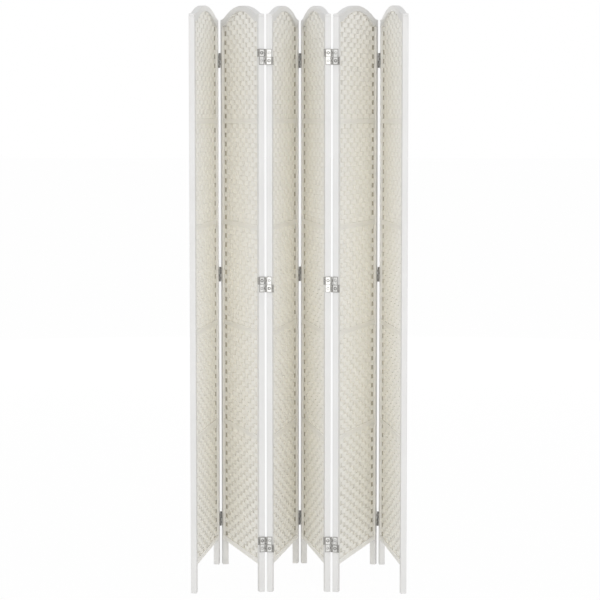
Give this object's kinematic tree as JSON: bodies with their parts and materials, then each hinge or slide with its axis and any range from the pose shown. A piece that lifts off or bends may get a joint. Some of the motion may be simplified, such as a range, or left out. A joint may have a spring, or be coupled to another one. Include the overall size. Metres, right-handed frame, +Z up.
{
  "type": "folding privacy screen",
  "caption": "Free-standing zigzag room divider of arched wooden frames filled with a paper-cord weave, joined edge to edge by plated two-way hinges.",
  "frame": {"origin": "on the floor, at the middle of the box round the screen as it stands in the picture", "axes": "+Z up, +X along the row of panels from left to right, +Y from the viewer to the back"},
  "size_m": [0.6236, 0.4236, 1.7],
  "materials": {
    "painted_wood": "satin white paint",
    "woven_cord": "cream paper-cord weave",
    "plated_steel": "zinc plate"
  },
  "bodies": {
    "panel_1": {"panel_1_left_post": "painted_wood", "panel_1_right_post": "painted_wood", "panel_1_crest_rail": "painted_wood", "panel_1_cross_rails": "painted_wood", "panel_1_warp_rods": "painted_wood", "panel_1_woven_infill": "woven_cord", "panel_1_hinge_leaves": "plated_steel", "panel_1_hinge_links": "plated_steel", "panel_1_hinge_pins": "plated_steel", "panel_1_hinge_screws": "plated_steel"},
    "panel_2": {"panel_2_left_post": "painted_wood", "panel_2_right_post": "painted_wood", "panel_2_crest_rail": "painted_wood", "panel_2_cross_rails": "painted_wood", "panel_2_warp_rods": "painted_wood", "panel_2_woven_infill": "woven_cord", "panel_2_hinge_leaves": "plated_steel", "panel_2_hinge_links": "plated_steel", "panel_2_hinge_pins": "plated_steel", "panel_2_hinge_screws": "plated_steel"},
    "panel_3": {"panel_3_left_post": "painted_wood", "panel_3_right_post": "painted_wood", "panel_3_crest_rail": "painted_wood", "panel_3_cross_rails": "painted_wood", "panel_3_warp_rods": "painted_wood", "panel_3_woven_infill": "woven_cord", "panel_3_hinge_leaves": "plated_steel", "panel_3_hinge_links": "plated_steel", "panel_3_hinge_pins": "plated_steel", "panel_3_hinge_screws": "plated_steel"},
    "panel_4": {"panel_4_left_post": "painted_wood", "panel_4_right_post": "painted_wood", "panel_4_crest_rail": "painted_wood", "panel_4_cross_rails": "painted_wood", "panel_4_warp_rods": "painted_wood", "panel_4_woven_infill": "woven_cord", "panel_4_hinge_leaves": "plated_steel", "panel_4_hinge_links": "plated_steel", "panel_4_hinge_pins": "plated_steel", "panel_4_hinge_screws": "plated_steel"},
    "panel_5": {"panel_5_left_post": "painted_wood", "panel_5_right_post": "painted_wood", "panel_5_crest_rail": "painted_wood", "panel_5_cross_rails": "painted_wood", "panel_5_warp_rods": "painted_wood", "panel_5_woven_infill": "woven_cord", "panel_5_hinge_leaves": "plated_steel", "panel_5_hinge_links": "plated_steel", "panel_5_hinge_pins": "plated_steel", "panel_5_hinge_screws": "plated_steel"},
    "panel_6": {"panel_6_left_post": "painted_wood", "panel_6_right_post": "painted_wood", "panel_6_crest_rail": "painted_wood", "panel_6_cross_rails": "painted_wood", "panel_6_warp_rods": "painted_wood", "panel_6_woven_infill": "woven_cord", "panel_6_hinge_leaves": "plated_steel", "panel_6_hinge_links": "plated_steel", "panel_6_hinge_pins": "plated_steel", "panel_6_hinge_screws": "plated_steel"}
  },
  "joints": [
    {"name": "fold_1_2", "type": "hinge", "parent": "panel_2", "child": "panel_1", "pos_m": [-0.24027, 0.19034, 0.896], "axis": [0, 0, -1], "range_deg": [-25.5, 154.5]},
    {"name": "fold_2_3", "type": "hinge", "parent": "panel_3", "child": "panel_2", "pos_m": [-0.09476, -0.18823, 0.896], "axis": [0, 0, 1], "range_deg": [-29, 151]},
    {"name": "fold_3_4", "type": "hinge", "parent": "panel_3", "child": "panel_4", "pos_m": [0.00352, 0.20525, 0.896], "axis": [0, 0, 1], "range_deg": [-21, 159]},
    {"name": "fold_4_5", "type": "hinge", "parent": "panel_4", "child": "panel_5", "pos_m": [0.09493, -0.18988, 0.896], "axis": [0, 0, -1], "range_deg": [-28.5, 151.5]},
    {"name": "fold_5_6", "type": "hinge", "parent": "panel_5", "child": "panel_6", "pos_m": [0.24373, 0.1874, 0.896], "axis": [0, 0, 1], "range_deg": [-25.5, 154.5]}
  ]
}
